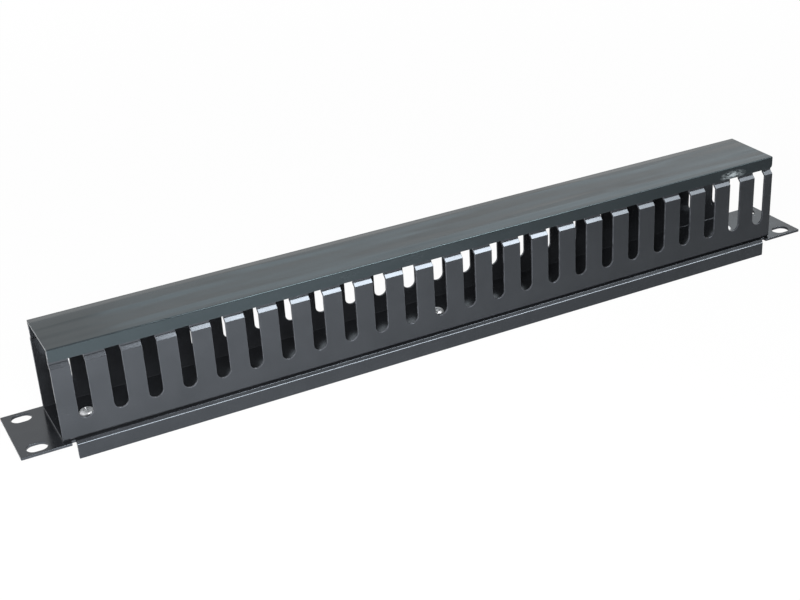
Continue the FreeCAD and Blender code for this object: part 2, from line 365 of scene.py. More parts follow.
def folded_sheet(name, path, loops, creases, edge_round, is_seam=lambda a, b: False):
    """A mesh of the blank folded along its path, with its thickness and rounded cut edges.

    Its points keep two attributes: coat_normal, the way the coated surface faces, and
    cut_edge, which is 1 on the rounded edges and 0 on the sheet's two faces.
    """
    points, faces = cut_blank(loops, creases)
    cuts, mitres = rim_normals(points, faces, is_seam)
    verts, normals, edge_marks, quads = [], [], [], []

    def put(index, outward, depth, tilt, mark):
        """One point: moved outward in the blank, at a depth in the sheet."""
        mitre = mitres.get(index, Vector((0, 0)))
        x, along = points[index] + mitre * outward
        place, heading = path.at(x, along, depth)
        left = Vector((0, *left_of(heading)))
        ahead = Vector((0, math.cos(heading), math.sin(heading)))
        verts.append((x, *place))
        side = mitre.normalized() if mitre.length else mitre
        level = Vector((1, 0, 0)) * side.x + ahead * side.y
        normals.append((left * math.sin(tilt) + level * math.cos(tilt)).normalized())
        edge_marks.append(mark)
        return len(verts) - 1

    quarter = math.pi / 2
    top = [put(i, -edge_round, path.sheet, quarter, 0.0) for i in range(len(points))]
    bottom = [put(i, -edge_round, 0.0, -quarter, 0.0) for i in range(len(points))]
    quads += [[top[i] for i in face] for face in faces]
    quads += [[bottom[i] for i in reversed(face)] for face in faces]
    tilts = [quarter * (1 - step / RIM_STEPS) for step in range(1, RIM_STEPS + 1)]
    columns = {}
    for index in mitres:
        column = [top[index]]
        for face, order in ((1, tilts), (-1, tilts[::-1])):
            for tilt in order:
                outward = -edge_round * (1 - math.cos(tilt))
                drop = edge_round * (1 - math.sin(tilt))
                depth = path.sheet - drop if face > 0 else drop
                column.append(put(index, outward, depth, face * tilt, 1.0))
        columns[index] = column + [bottom[index]]
    for a, b in cuts:
        here, there = columns[a], columns[b]
        for row in range(2 * RIM_STEPS + 1):
            quads.append([here[row], here[row + 1], there[row + 1], there[row]])

    mesh = bpy.data.meshes.new(name)
    mesh.from_pydata(verts, [], quads)
    facing = mesh.attributes.new("coat_normal", "FLOAT_VECTOR", "POINT")
    facing.data.foreach_set("vector", np.array(normals, np.float32).ravel())
    marks = mesh.attributes.new("cut_edge", "FLOAT", "POINT")
    marks.data.foreach_set("value", np.array(edge_marks, np.float32))
    return mesh


def finish_mesh(mesh):
    """Smooth shading that follows the folded sheet's own surface, with no loose points."""
    work = bmesh.new()
    work.from_mesh(mesh)
    bmesh.ops.delete(work, geom=[v for v in work.verts if not v.link_faces], context="VERTS")
    work.to_mesh(mesh)
    work.free()
    mesh.shade_smooth()
    facing = np.zeros(len(mesh.vertices) * 3, np.float32)
    mesh.attributes["coat_normal"].data.foreach_get("vector", facing)
    mesh.normals_split_custom_set_from_vertices(facing.reshape(-1, 3))
    mesh.attributes.remove(mesh.attributes["coat_normal"])
    return mesh


def straight_creases(path, spans, low=0.0, high=None):
    """A crease across each span of X for every row of the path's bends."""
    return [((a, row), (b, row)) for row in path.rows(low, high) for a, b in spans]


# ---- objects ------------------------------------------------------------------------------

def new_object(name, mesh, material=None):
    """A mesh object at the origin, in the scene."""
    made = bpy.data.objects.new(name, mesh)
    bpy.context.scene.collection.objects.link(made)
    if material:
        mesh.materials.append(material)
    return made


def mesh_from(work, name):
    """A new mesh from a finished bmesh, which is freed."""
    mesh = bpy.data.meshes.new(name)
    work.to_mesh(mesh)
    work.free()
    return mesh


def realised(source, name):
    """The evaluated object as a plain mesh object, in place of its source."""
    bpy.context.view_layer.update()
    ready = source.evaluated_get(bpy.context.evaluated_depsgraph_get())
    mesh = bpy.data.meshes.new_from_object(ready)
    mesh.name = name
    bpy.data.objects.remove(source)
    return new_object(name, mesh)


def dress(piece, body, slot, *nodes):
    """The piece moves with a body and stands for CAD nodes, which it hides. Its slot is not used."""
    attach(piece, body)
    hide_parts(*nodes)


# ---- node trees ---------------------------------------------------------------------------

def add_node(tree, kind, inputs=(), **settings):
    """One node with its settings. Its inputs are named, or listed in the node's own order.

    Each input is a value, another node's output, or a node, which gives its first output.
    """
    node = tree.nodes.new(kind)
    for name, value in settings.items():
        setattr(node, name, value)
    for name, value in inputs.items() if isinstance(inputs, dict) else enumerate(inputs):
        if isinstance(value, bpy.types.Node):
            value = value.outputs[0]
        if isinstance(value, bpy.types.NodeSocket):
            tree.links.new(value, node.inputs[name])
        else:
            node.inputs[name].default_value = value
    return node


def bare_tree(owner):
    """The node tree of a material or a world, emptied."""
    owner.use_nodes = True
    owner.node_tree.nodes.clear()
    return owner.node_tree


def row_tree(name, extra_inputs):
    """A geometry tree with its named inputs, and the node that they come in by."""
    tree = bpy.data.node_groups.new(name, "GeometryNodeTree")
    tree.interface.new_socket("Geometry", in_out="INPUT", socket_type="NodeSocketGeometry")
    for label, kind in extra_inputs.items():
        tree.interface.new_socket(label, in_out="INPUT", socket_type=kind)
    tree.interface.new_socket("Geometry", in_out="OUTPUT", socket_type="NodeSocketGeometry")
    return tree, add_node(tree, "NodeGroupInput")


def end_tree(tree, geometry, material):
    """Realised and welded geometry with its material, joined to the tree's output."""
    real = add_node(tree, "GeometryNodeRealizeInstances", {"Geometry": geometry})
    weld = add_node(tree, "GeometryNodeMergeByDistance", {"Geometry": real, "Distance": WELD})
    paint = add_node(tree, "GeometryNodeSetMaterial", {"Geometry": weld, "Material": material})
    add_node(tree, "NodeGroupOutput", {"Geometry": paint})


def run_tree(source, tree, values, name, material):
    """The source object's geometry run through the tree, as a plain mesh object."""
    modifier = source.modifiers.new("repeat", "NODES")
    modifier.node_group = tree
    for item in tree.interface.items_tree:
        if item.in_out == "INPUT" and item.name in values:
            modifier[item.identifier] = values[item.name]
    made = realised(source, name)
    made.data.materials.clear()
    made.data.materials.append(material)
    made.data.polygons.foreach_set("material_index", [0] * len(made.data.polygons))
    bpy.data.node_groups.remove(tree)
    return made


def row_of_units(material):
    """Tree that repeats one unit along X and welds it to the geometry that comes in."""
    tree, entry = row_tree("Unit row", {
        "Unit": "NodeSocketObject", "Count": "NodeSocketInt",
        "Pitch": "NodeSocketFloat", "First": "NodeSocketFloat",
    })
    first = add_node(tree, "ShaderNodeCombineXYZ", {"X": entry.outputs["First"]})
    step = add_node(tree, "ShaderNodeCombineXYZ", {"X": entry.outputs["Pitch"]})
    line = add_node(tree, "GeometryNodeMeshLine", {
        "Count": entry.outputs["Count"], "Start Location": first, "Offset": step}, mode="OFFSET")
    unit = add_node(tree, "GeometryNodeObjectInfo", {"Object": entry.outputs["Unit"]})
    row = add_node(tree, "GeometryNodeInstanceOnPoints", {
        "Points": line, "Instance": unit.outputs["Geometry"]})
    whole = add_node(tree, "GeometryNodeJoinGeometry", {"Geometry": row})
    tree.links.new(entry.outputs["Geometry"], whole.inputs[0])
    end_tree(tree, whole, material)
    return tree


def row_at_places(material):
    """Tree that puts one fastener on every point that comes in, turned as the point says."""
    tree, entry = row_tree("Fastener row", {"Fastener": "NodeSocketObject"})
    unit = add_node(tree, "GeometryNodeObjectInfo", {"Object": entry.outputs["Fastener"]})
    turn = add_node(tree, "GeometryNodeInputNamedAttribute", {"Name": "turn"}, data_type="FLOAT")
    spin = add_node(tree, "ShaderNodeCombineXYZ", {"Z": turn.outputs["Attribute"]})
    points = add_node(tree, "GeometryNodeMeshToPoints", {"Mesh": entry.outputs["Geometry"]})
    row = add_node(tree, "GeometryNodeInstanceOnPoints", {
        "Points": points, "Instance": unit.outputs["Geometry"], "Rotation": spin})
    end_tree(tree, row, material)
    return tree


# ---- materials ----------------------------------------------------------------------------

def new_material(name):
    """A material, its empty node tree, and an output there with the piece's own coordinates."""
    material = bpy.data.materials.new(name)
    tree = bare_tree(material)
    return material, tree, add_node(tree, "ShaderNodeTexCoord").outputs["Object"]


def mottle(tree, place, millimetres, detail=2.0, stretch=(1, 1, 1), offset=0.0):
    """A mottled pattern whose blots are about that wide, drawn out along the axes.

    The offset, in metres, gives each pattern its own part of the noise.
    """
    mapped = add_node(tree, "ShaderNodeMapping", {
        "Vector": place, "Scale": [1 / s for s in stretch], "Location": (offset, 0, 0)})
    return add_node(tree, "ShaderNodeTexNoise", {
        "Vector": mapped, "Scale": 1 / (millimetres * MM), "Detail": detail})


def layered(tree, under, *layers):
    """A colour with others laid over it in turn. A layer is how much it covers, and its colour."""
    for cover, over in layers:
        mixed = add_node(tree, "ShaderNodeMix", {0: cover, 6: under, 7: over}, data_type="RGBA")
        under = mixed.outputs[2]
    return under


def shade(rgba, factor):
    """A lighter or darker shade of a colour."""
    return (*[min(1.0, c * factor) for c in rgba[:3]], 1.0)


def powder_coat(name, base, roughness, streaks=0.0, edge_wear_and_highlight=9, tint="#e6f2ff", pale_patch=None,
                rolls=()):
    """Polyester powder coat, sprayed on steel and baked: satin, with a fine orange peel.

    The eye sees a dark satin skin whose gloss breaks up a little, pale cut edges, faint dust,
    and long wipe marks where a sheet has been handled. A cut edge is paler partly because the
    powder pulls thin there and partly as a painted highlight of the light that its rounding
    catches; edge_wear_and_highlight says how many times paler it is. pale_patch is a pale matt
    patch's centre, reach and colour. rolls are slow rises of the sheet near its folds: where each
    starts and ends across the sheet, how high it gets, and what share of that it keeps where it
    is weakest.
    """
    material, tree, place = new_material(name)
    # The spray leaves blots of thicker and thinner powder.
    blots = mottle(tree, place, 14, 3.0)
    # Dust is finer than this. It is drawn as coarse as it needs to show.
    specks = mottle(tree, place, 0.9, 1.0, offset=3.0)
    # A cloth's wipe marks, about a finger wide, run along the sheet.
    wipes = mottle(tree, place, 9, 1.5, stretch=(11, 1, 1), offset=7.0)
    # The pale cut edge, thin powder and a painted highlight, breaks up in chips of a few
    # millimetres.
    chips = mottle(tree, place, 3, 4.0, offset=11.0)
    edge = add_node(tree, "ShaderNodeAttribute", attribute_name="cut_edge").outputs["Fac"]
    # Each range is where a pattern starts and ends to show, and how much it then covers.
    thin = add_node(tree, "ShaderNodeMapRange", [blots, 0.35, 0.65, 0, 1])
    dusty = add_node(tree, "ShaderNodeMapRange", [specks, 0.62, 0.75, 0, 0.35])
    wiped = add_node(tree, "ShaderNodeMapRange", [wipes, 0.45, 0.8, 0, streaks])
    chipped = add_node(tree, "ShaderNodeMapRange", [chips, 0.3, 0.7, 0.25, 0.8])
    # Cut edges are made paler: partly thin powder, partly a painted highlight where their rounding
    # catches the light.
    worn_and_highlit_edge = add_node(tree, "ShaderNodeMath", [edge, chipped], operation="MULTIPLY")
    body = layered(
        tree, shade(base, 0.88), (thin, shade(base, 1.12)), (dusty, shade(base, 1.7)),
        (wiped, shade(base, 2.2)), (worn_and_highlit_edge, shade(base, edge_wear_and_highlight)))
    # These say how much rougher or smoother it gets.
    uneven = add_node(tree, "ShaderNodeMapRange", [blots, 0.3, 0.7, -0.03, 0.03])
    smears = add_node(tree, "ShaderNodeMapRange", [
        wipes, 0.35, 0.75, -0.25 * streaks, 0.35 * streaks])
    change = add_node(tree, "ShaderNodeMath", [uneven, smears])
    rough = add_node(tree, "ShaderNodeMath", [change, roughness])
    # A pale, matt patch of wavy strokes, laid over the coat where one is asked for.
    if pale_patch:
        mark = pale_patch_mask(tree, place, *pale_patch[:2])
        body = layered(tree, body, (mark, pale_patch[2]))
        matted = add_node(tree, "ShaderNodeMath", [mark, 0.2], operation="MULTIPLY")
        rough = add_node(tree, "ShaderNodeMath", [rough, matted])
    # Orange peel of about a millimetre, on sheet that is a little wavy along its length.
    peel = mottle(tree, place, 1.1, 1.5, offset=5.0)
    waves = mottle(tree, place, 16, 1.0, stretch=(9, 1, 1), offset=9.0)
    wave_height = 0.08 * MM * (0.4 + streaks)
    wavy = add_node(tree, "ShaderNodeBump", {"Height": waves, "Distance": wave_height})
    across = add_node(tree, "ShaderNodeSeparateXYZ", [place]).outputs["Y"]
    for start, end, height, least in rolls:
        ramp = add_node(tree, "ShaderNodeMapRange", [across, start * MM, end * MM],
                        interpolation_type="SMOOTHSTEP")
        share = add_node(tree, "ShaderNodeMapRange", [waves, 0.3, 0.6, least, 1])
        rise = add_node(tree, "ShaderNodeMath", [ramp, share], operation="MULTIPLY")
        wavy = add_node(tree, "ShaderNodeBump", {
            "Height": rise, "Distance": height * MM, "Normal": wavy})
    peeled = add_node(tree, "ShaderNodeBump", {
        "Height": peel, "Distance": 0.006 * MM, "Normal": wavy})
    shader = add_node(tree, "ShaderNodeBsdfPrincipled", {
        "Base Color": body, "Roughness": rough, "IOR": 1.5, "Specular Tint": linear(tint),
        "Normal": peeled})
    add_node(tree, "ShaderNodeOutputMaterial", {"Surface": shader})
    return material


def pale_patch_mask(tree, place, centre, reach):
    """A pale patch, soft around a place and broken up into wavy strokes."""
    mapped = add_node(tree, "ShaderNodeMapping", {
        "Vector": place, "Location": [-c / r for c, r in zip(centre, reach)],
        "Scale": [1 / r for r in reach]})
    away = add_node(tree, "ShaderNodeVectorMath", [mapped], operation="LENGTH").outputs["Value"]
    patch = add_node(tree, "ShaderNodeMapRange", [away, 0.1, 1.0, 1, 0])
    patch_noise = mottle(tree, place, 1.1, 2.0, stretch=(2.0, 1, 0.9), offset=2.0)
    strokes = add_node(tree, "ShaderNodeMapRange", [patch_noise, 0.38, 0.62, 0.0, 0.75])
    return add_node(tree, "ShaderNodeMath", [patch, strokes], operation="MULTIPLY")


def zinc_plate(name, base):
    """Bright zinc plate on steel, passivated clear: a pale metal with small dull blooms."""
    material, tree, place = new_material(name)
    # The clear passivation dries in small dull blooms.
    blooms = mottle(tree, place, 1.8, 3.0)
    dull = add_node(tree, "ShaderNodeMapRange", [blooms, 0.35, 0.7, 0, 1])
    rough = add_node(tree, "ShaderNodeMapRange", [blooms, 0.3, 0.7, 0.4, 0.55])
    # The plate's own crystals are far finer. They are drawn a quarter of a millimetre wide.
    grain = add_node(tree, "ShaderNodeBump", {
        "Height": mottle(tree, place, 0.25, 2.0), "Distance": 0.008 * MM})
    shader = add_node(tree, "ShaderNodeBsdfPrincipled", {
        "Base Color": layered(tree, base, (dull, shade(base, 0.78))), "Metallic": 1.0,
        "Roughness": rough, "Normal": grain})
    add_node(tree, "ShaderNodeOutputMaterial", {"Surface": shader})
    return material


# ---- pieces -------------------------------------------------------------------------------

def panel_mesh(sizes):
    """Rack panel: a flat blank with two ears, four rack slots and two flanges to fold back."""
    sheet = duct_low.z
    half_width, half_height = panel_high.x, panel_high.y
    flange = duct_high.x - sizes.flange_step
    back = [(half_height, panel_low.z), (half_height, sheet - sizes.panel_drop),
            (half_height - sizes.panel_slope, sheet)]
    corners = back + [(-y, z) for y, z in reversed(back)]
    folds = [(sizes.panel_outer, sizes.panel_inner), (sizes.panel_crisp, sizes.panel_inner)]
    path = FoldPath(corners, folds + folds[::-1], sheet, flat_beyond=flange + SAME)
    notch = flange + sizes.relief_width
    middle = path.length / 2
    notch_s = middle - (half_height - sheet - sizes.relief_reach)
    ear_s = middle - half_height
    soft = sizes.corner_round
    quarter = [
        (flange, 0.0, soft), (flange, notch_s, soft), (notch, notch_s, soft),
        (notch, ear_s, soft), (half_width, ear_s, soft),
    ]
    right = quarter + [(x, path.length - s, r) for x, s, r in reversed(quarter)]
    left = [(-x, s, r) for x, s, r in reversed(right)]
    loops = [rounded(right + left)]
    for side in (-1, 1):
        for across in (-1, 1):
            loops.append(obround(side * (half_width - sizes.ear_slot_inset_x),
                                 middle + across * (half_height - sizes.ear_slot_inset_y),
                                 sizes.ear_slot_length, sizes.ear_slot_width))
    loops += screw_holes(sizes, middle)
    creases = straight_creases(path, [(-flange, flange)])
    return folded_sheet("rack_panel_sheet", path, loops, creases, sizes.edge_round)


def duct_path(sizes):
    """Section of the duct, from the near finger's tip down, across and up to the far tip."""
    top_z = duct_high.z - sizes.tip_height
    foot_z = top_z - sizes.jog_inset
    inner = duct_high.y - sizes.jog_inset
    far = [(duct_high.y, duct_low.z), (duct_high.y, foot_z), (inner, top_z), (inner, duct_high.z)]
    corners = [(-y, z) for y, z in reversed(far)] + far
    crisp, soft = sizes.jog_inner, sizes.jog_outer
    bend = (sizes.duct_bend + sizes.duct_sheet, sizes.duct_bend)   # keeps its thickness
    folds = [(crisp, soft), (soft, crisp), bend, bend, (soft, crisp), (crisp, soft)]
    return FoldPath(corners, folds, sizes.duct_sheet)


def slot_side(path, sizes, centre, facing, foot):
    """Half of a cable slot's edge on the near wall, from the finger's tip down to the foot.

    facing is 1 for the slot's right side and -1 for its left side.
    """
    radius = sizes.slot_width / 2
    x = centre + facing * radius
    arc_s = path.length / 2 - duct_high.y - (foot + radius) + corner_loss(path)
    points = [(x, 0.0, sizes.corner_round), (x, arc_s, 0)]
    for step in range(1, ARC_STEPS + 1):
        angle = math.pi / 2 * step / ARC_STEPS
        points.append((centre + facing * radius * math.cos(angle),
                       arc_s + radius * math.sin(angle), 0))
    return points


def corner_loss(path):
    """How much shorter a square bend is than the sharp corner that it rounds."""
    bend = path.bends[2]
    return 2 * bend["radii"][0] - bend["length"]


def screw_xs():
    """Where the three screws stand along the duct."""
    inset = bpy.context.scene.cable_fasteners.inset
    return (-duct_high.x + inset, 0.0, duct_high.x - inset)


def screw_holes(sizes, middle):
    """Round holes for the three screws, along the middle of a blank."""
    return [obround(x, middle, sizes.hole_width, sizes.hole_width) for x in screw_xs()]


def on_wall_seam(path, wall_s, a, b):
    """True where an edge lies on the line along which a wall's fingers join the duct's base."""
    return all(min(abs(p.y - wall_s), abs(path.length - p.y - wall_s)) < SAME for p in (a, b))


def on_slot_middle(xs, a, b):
    """True where an edge stands in the middle of one of these slots."""
    return abs(a.x - b.x) < SAME and min(abs(a.x - x) for x in xs) < SAME


def duct_unit(path, sizes, wall_s):
    """One finger in each wall, from the middle of a slot to the middle of the next."""
    pitch = sizes.slot_width + sizes.finger_width
    fingers = []
    for foot in (sizes.slot_foot, sizes.rear_slot_foot):
        left = slot_side(path, sizes, 0.0, 1, foot)
        right = slot_side(path, sizes, pitch, -1, foot)
        fingers.append(rounded(left + [(0.0, wall_s, 0), (pitch, wall_s, 0)] + right[::-1]))
    near, far = fingers
    far = [(x, path.length - s) for x, s in reversed(far)]
    radius = sizes.slot_width / 2
    spans = [(radius, pitch - radius)]
    creases = straight_creases(path, spans, 0.0, wall_s)
    creases += straight_creases(path, spans, path.length - wall_s)

    def is_seam(a, b):
        return on_slot_middle((0.0, pitch), a, b) or on_wall_seam(path, wall_s, a, b)

    return folded_sheet("duct_unit", path, [near, far], creases, sizes.edge_round, is_seam)


def duct_base(path, sizes, wall_s, centres):
    """The duct's floor and folds, its screw holes, and the end fingers at both ends."""
    soft = sizes.corner_round
    half = duct_high.x
    first, last = centres[0], centres[-1]
    seam_row = [(x, wall_s, 0) for x in centres]
    ends = []
    for foot in (sizes.slot_foot, sizes.rear_slot_foot):
        left = slot_side(path, sizes, first, -1, foot)
        right = slot_side(path, sizes, last, 1, foot)
        ends.append([(-half, 0.0, soft)] + left + seam_row + right[::-1] + [(half, 0.0, soft)])
    near, far = ends
    far = [(x, path.length - s, r) for x, s, r in reversed(far)]
    loops = [rounded(near + far)] + screw_holes(sizes, path.length / 2)
    radius = sizes.slot_width / 2
    outer_fingers = [(-half, first - radius), (last + radius, half)]
    slack = 2 * SAME
    creases = straight_creases(path, outer_fingers, 0.0, wall_s)
    creases += straight_creases(path, [(-half, half)], wall_s - slack, path.length - wall_s + slack)
    creases += straight_creases(path, outer_fingers, path.length - wall_s)

    def is_seam(a, b):
        between = first - SAME < min(a.x, b.x) and max(a.x, b.x) < last + SAME
        seam = on_wall_seam(path, wall_s, a, b) or on_slot_middle((first, last), a, b)
        return between and seam

    return folded_sheet("duct_base", path, loops, creases, sizes.edge_round, is_seam)


def cover_mesh(sizes):
    """Cover: a long blank with rounded lip corners, folded into a shallow channel."""
    y, low, high = cover_high.y, cover_low.z, cover_high.z
    path = FoldPath([(y, low), (y, high), (-y, high), (-y, low)],
                    [(sizes.cover_outer, sizes.cover_inner)] * 2, sizes.cover_sheet)
    half = cover_high.x
    corner = sizes.lip_corner
    outline = [(-half, 0.0, corner), (half, 0.0, corner),
               (half, path.length, corner), (-half, path.length, corner)]
    creases = straight_creases(path, [(-half, half)])
    return folded_sheet("duct_cover_sheet", path, [rounded(outline)], creases, sizes.edge_round)


def turned_mesh(name, segments, profile, capped):
    """A body turned round Z. profile gives its (radius, z) points at an angle.

    A capped body ends in flat faces, and the other kind is a ring that closes on itself.
    """
    work = bmesh.new()
    angles = [math.tau * step / segments for step in range(segments)]
    rows = []
    for ring in zip(*[profile(angle) for angle in angles]):
        rows.append([work.verts.new((r * math.cos(angle), r * math.sin(angle), z))
                     for (r, z), angle in zip(ring, angles)])
    for low, high in zip(rows, rows[1:] if capped else rows[1:] + rows[:1]):
        for i in range(segments):
            j = (i + 1) % segments
            work.faces.new((low[i], low[j], high[j], high[i]))
    if capped:
        work.faces.new(list(reversed(rows[0])))
        work.faces.new(rows[-1])
    bmesh.ops.recalc_face_normals(work, faces=work.faces)
    return mesh_from(work, name)


def screw_mesh(sizes, sheet):
    """Pan-head screw with a cross recess and a rolled thread, seated on the duct's sheet."""
    seat, top, tip = duct_low.z + sheet, screw_high.z, screw_low.z
    head = sizes.head_width / 2
    crest = sizes.thread_width / 2
    rise = top - seat - sizes.head_edge
    point, lead, chamfer, hub = 0.5 * MM, 0.12 * MM, 0.1 * MM, 0.05 * MM
    plain = 0.3 * MM   # shank without thread, under the head
    dome_steps, dome_share = 16, 0.62
    ring_step = sizes.thread_pitch / 10
    count = int((seat - tip) / ring_step)
    rings = [(crest - point, tip)]
    rings += [(crest, tip + lead + i * ring_step) for i in range(count - 1)]
    rings += [(crest, seat), (head - chamfer, seat), (head, seat + chamfer),
              (head, seat + sizes.head_edge)]
    for step in range(1, dome_steps):
        angle = math.pi / 2 * step / dome_steps
        radius = head * (1 - dome_share * (1 - math.cos(angle)))
        rings.append((radius, seat + sizes.head_edge + rise * math.sin(angle)))
    rings.append((hub, top))

    def threaded(radius, z, angle):
        if not tip < z < seat - plain or radius > crest:
            return radius
        phase = (z / sizes.thread_pitch - angle / math.tau) % 1
        return radius - sizes.thread_depth * (1 - abs(2 * phase - 1))

    def profile(angle):
        return [(threaded(radius, z, angle), z) for radius, z in rings]

    segments = 48
    body = new_object("screw_body", turned_mesh("screw_body", segments, profile, True))
    arms = bmesh.new()
    # Each arm of the cross tapers: its share of the span and of the width, and its height.
    foot, mouth = (0.55, 0.6, top - sizes.recess_depth), (1.15, 1.1, top + 0.3 * MM)
    for quarter in (0, math.pi / 2):
        for vert in bmesh.ops.create_cube(arms, size=1.0)["verts"]:
            long, wide, height = foot if vert.co.z < 0 else mouth
            vert.co = (vert.co.x * sizes.recess_span * long,
                       vert.co.y * sizes.recess_width * wide, height)
            vert.co.rotate(Euler((0, 0, quarter)))
    punch = new_object("screw_punch", mesh_from(arms, "screw_punch"))
    cut = body.modifiers.new("recess", "BOOLEAN")
    cut.object = punch
    cut.use_self = True
    made = realised(body, "screw_unit")
    bpy.data.objects.remove(punch)
    return made


def nut_mesh(sizes):
    """Hexagon nut whose corners are chamfered on the free face."""
    flat = sizes.nut_flats / 2
    play, land, rise = 0.02 * MM, 0.05 * MM, 0.02 * MM
    bore = sizes.thread_width / 2 + play
    low, high = nut_low.z, nut_high.z
    side = math.pi / 3
    corner = flat / math.cos(side / 2)
    slope = sizes.nut_chamfer / (corner - flat)

    def profile(angle):
        hexagon = flat / math.cos(angle % side - side / 2)
        shoulder = low + (hexagon - flat) * slope + rise
        return [(bore, high), (hexagon, high), (hexagon, shoulder), (flat - land, low), (bore, low)]

    segments = 72
    return new_object("nut_unit", turned_mesh("nut_unit", segments, profile, False))


def fastener_row(unit, name, material):
    """The unit repeated at the three screws' places, as one mesh."""
    turns = (12, 38, 71)   # degrees by which the left, middle and right ones are turned
    crisp = 32             # degrees past which an edge stays sharp
    mesh = bpy.data.meshes.new(name)
    mesh.from_pydata([(x, 0, 0) for x in screw_xs()], [], [])
    turn = mesh.attributes.new("turn", "FLOAT", "POINT")
    turn.data.foreach_set("value", [math.radians(angle) for angle in turns])
    source = new_object(name + "_places", mesh)
    made = run_tree(source, row_at_places(material), {"Fastener": unit}, name, material)
    bpy.data.objects.remove(unit)
    made.data.shade_smooth()
    made.data.set_sharp_from_angle(angle=math.radians(crisp))
    return made


# ---- operators ----------------------------------------------------------------------------

class CABLE_OT_panel(bpy.types.Operator):
    """Make the rack panel with its flanges and slotted ears"""
    bl_idname = "cable.panel"
    bl_label = "Rack Panel"

    def execute(self, context):
        finish = context.scene.cable_finishes.panel_coat
        coat = powder_coat("satin_powder_coat_panel", finish, 0.17, 0.15, edge_wear_and_highlight=3)
        mesh = finish_mesh(panel_mesh(context.scene.cable_sheets))
        piece = new_object("rack_panel_sheet", mesh, coat)
        dress(piece, "manager", "panel_powder_coat", "rack_panel")
        return {"FINISHED"}


class CABLE_OT_duct(bpy.types.Operator):
    """Make the slotted duct, with its stepped fingers repeated along both walls"""
    bl_idname = "cable.duct"
    bl_label = "Slotted Duct"

    def execute(self, context):
        sizes = context.scene.cable_sheets
        finish = context.scene.cable_finishes.duct_coat
        coat = powder_coat("satin_powder_coat_duct", finish, 0.2, 0.1, edge_wear_and_highlight=7)
        path = duct_path(sizes)
        wall_s = path.bends[2]["from"]
        pitch = sizes.slot_width + sizes.finger_width
        first = -duct_high.x + sizes.first_finger + sizes.slot_width / 2
        centres = [first + pitch * k for k in range(sizes.slot_count)]
        unit = new_object("duct_unit", duct_unit(path, sizes, wall_s))
        base = new_object("duct_base", duct_base(path, sizes, wall_s, centres))
        values = {"Unit": unit, "Count": sizes.slot_count - 1, "Pitch": pitch, "First": first}
        piece = run_tree(base, row_of_units(coat), values, "slotted_duct_sheet", coat)
        bpy.data.objects.remove(unit)
        finish_mesh(piece.data)
        dress(piece, "manager", "duct_powder_coat", "slotted_duct")
        return {"FINISHED"}


class CABLE_OT_cover(bpy.types.Operator):
    """Make the lift-off cover"""
    bl_idname = "cable.cover"
    bl_label = "Duct Cover"

    def execute(self, context):
        finishes = context.scene.cable_finishes
        # The pale matt patch on the front lip, near the right end.
        mark_centre, mark_reach = Vector((190, -19.0, 48.2)) * MM, Vector((10, 4, 3.2)) * MM
        front_roll, back_roll = (-15.5, -9, 0.25, 0.3), (19, 13.5, 0.46, 0.6)
        coat = powder_coat(
            "satin_powder_coat_cover", finishes.cover_coat, 0.18, 0.25, tint="#d0eef8",
            pale_patch=(mark_centre, mark_reach, finishes.pale_patch), rolls=(front_roll, back_roll))
        mesh = finish_mesh(cover_mesh(context.scene.cable_sheets))
        piece = new_object("duct_cover_sheet", mesh, coat)
        dress(piece, "cover", "cover_powder_coat", "duct_cover")
        return {"FINISHED"}


class CABLE_OT_fasteners(bpy.types.Operator):
    """Make the three screws and the three nuts"""
    bl_idname = "cable.fasteners"
    bl_label = "Screws and Nuts"

    def execute(self, context):
        sizes = context.scene.cable_fasteners
        zinc = zinc_plate("bright_zinc_plate", context.scene.cable_finishes.zinc)
        sides = ("left", "middle", "right")
        sheet = context.scene.cable_sheets.duct_sheet
        screws = fastener_row(screw_mesh(sizes, sheet), "duct_screws", zinc)
        dress(screws, "manager", "zinc_plate", *["duct_screw_" + side for side in sides])
        nuts = fastener_row(nut_mesh(sizes), "duct_nuts", zinc)
        dress(nuts, "manager", "zinc_plate", *["duct_nut_" + side for side in sides])
        return {"FINISHED"}


def soft_box(name, place, target, wide, tall, power, gloss_only=False):
    """A rectangular lamp that faces a point. A gloss light shows only as a highlight."""
    lamp = bpy.data.lights.new(name, "AREA")
    lamp.shape = "RECTANGLE"
    lamp.size = wide
    lamp.size_y = tall
    lamp.energy = power
    made = bpy.data.objects.new(name, lamp)
    bpy.context.scene.collection.objects.link(made)
    made.location = place
    made.visible_camera = False
    made.visible_diffuse = not gloss_only
    made.rotation_euler = (Vector(target) - Vector(place)).to_track_quat("-Z", "Y").to_euler()
    return made


def light_only(lamp, piece):
    """The lamp lights this piece alone, and leaves no glare on the rest."""
    lit = bpy.data.collections.new(lamp.name + "_lit")
    lit.objects.link(piece)
    lamp.light_linking.receiver_collection = lit


def seen_directly(tree):
    """1 for rays from the camera, in a gloss or through glass, and 0 for the rest."""
    rays = add_node(tree, "ShaderNodeLightPath").outputs
    seen = rays["Is Camera Ray"]
    for kind in ("Is Glossy Ray", "Is Transmission Ray"):
        seen = add_node(tree, "ShaderNodeMath", [seen, rays[kind]], operation="MAXIMUM")
    return seen


